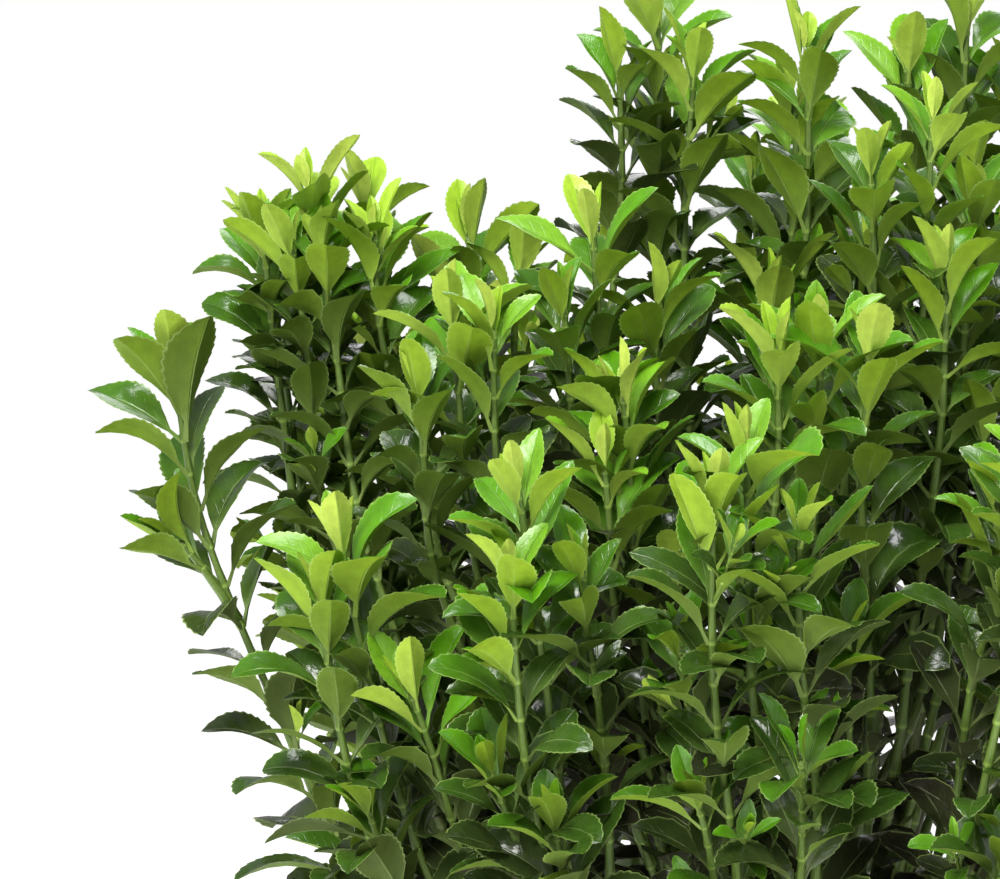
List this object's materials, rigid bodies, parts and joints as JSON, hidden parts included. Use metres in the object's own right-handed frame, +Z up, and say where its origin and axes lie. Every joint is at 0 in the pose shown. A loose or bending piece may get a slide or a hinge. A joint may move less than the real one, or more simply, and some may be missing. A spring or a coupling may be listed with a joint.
{
  "type": "potted euonymus shrub",
  "caption": "Bushy evergreen shrub of upright leafy shoots on several short stems, in a plain round clay pot of compost.",
  "frame": {"origin": "middle of the pot's flat underside", "axes": "+Z up along the pot's axis, -Y the front of the crown, +X to the right seen from the front"},
  "size_m": [0.5945, 0.5447, 0.868],
  "materials": {
    "clay": "matt unglazed terracotta with a faint pale bloom",
    "compost": "moist crumbly dark potting compost",
    "bark": "matt grey-brown bark with shallow lengthwise ridges",
    "green_bark": "smooth green young bark, browner and rougher low down",
    "foliage": "leathery evergreen leaves, glossy above and matt beneath, lime green at the tips and dark green low down"
  },
  "bodies": {
    "root": {"bough_back": "green_bark", "bough_back_left": "green_bark", "bough_back_right": "green_bark", "bough_centre": "green_bark", "bough_centre_back": "green_bark", "bough_centre_front": "green_bark", "bough_centre_left": "green_bark", "bough_centre_right": "green_bark", "bough_centre_tall": "green_bark", "bough_front": "green_bark", "bough_front_inner": "green_bark", "bough_front_left": "green_bark", "bough_front_left_low": "green_bark", "bough_front_left_upper": "green_bark", "bough_front_right": "green_bark", "bough_front_upper": "green_bark", "bough_left_back": "green_bark", "bough_left_inner": "green_bark", "bough_left_outer": "green_bark", "bough_left_upper": "green_bark", "bough_right_back": "green_bark", "bough_right_inner": "green_bark", "bough_right_low": "green_bark", "bough_right_outer": "green_bark", "bough_right_upper": "green_bark", "compost": "compost", "leaves_back": "foliage", "leaves_back_left": "foliage", "leaves_back_right": "foliage", "leaves_centre": "foliage", "leaves_centre_back": "foliage", "leaves_centre_front": "foliage", "leaves_centre_left": "foliage", "leaves_centre_right": "foliage", "leaves_centre_tall": "foliage", "leaves_front": "foliage", "leaves_front_inner": "foliage", "leaves_front_left": "foliage", "leaves_front_left_low": "foliage", "leaves_front_left_upper": "foliage", "leaves_front_right": "foliage", "leaves_front_upper": "foliage", "leaves_left_back": "foliage", "leaves_left_inner": "foliage", "leaves_left_outer": "foliage", "leaves_left_upper": "foliage", "leaves_right_back": "foliage", "leaves_right_inner": "foliage", "leaves_right_low": "foliage", "leaves_right_outer": "foliage", "leaves_right_upper": "foliage", "pot": "clay", "stem_back": "bark", "stem_centre": "bark", "stem_front": "bark", "stem_front_left": "bark", "stem_front_right": "bark", "stem_left": "bark", "stem_right": "bark"}
  },
  "joints": []
}
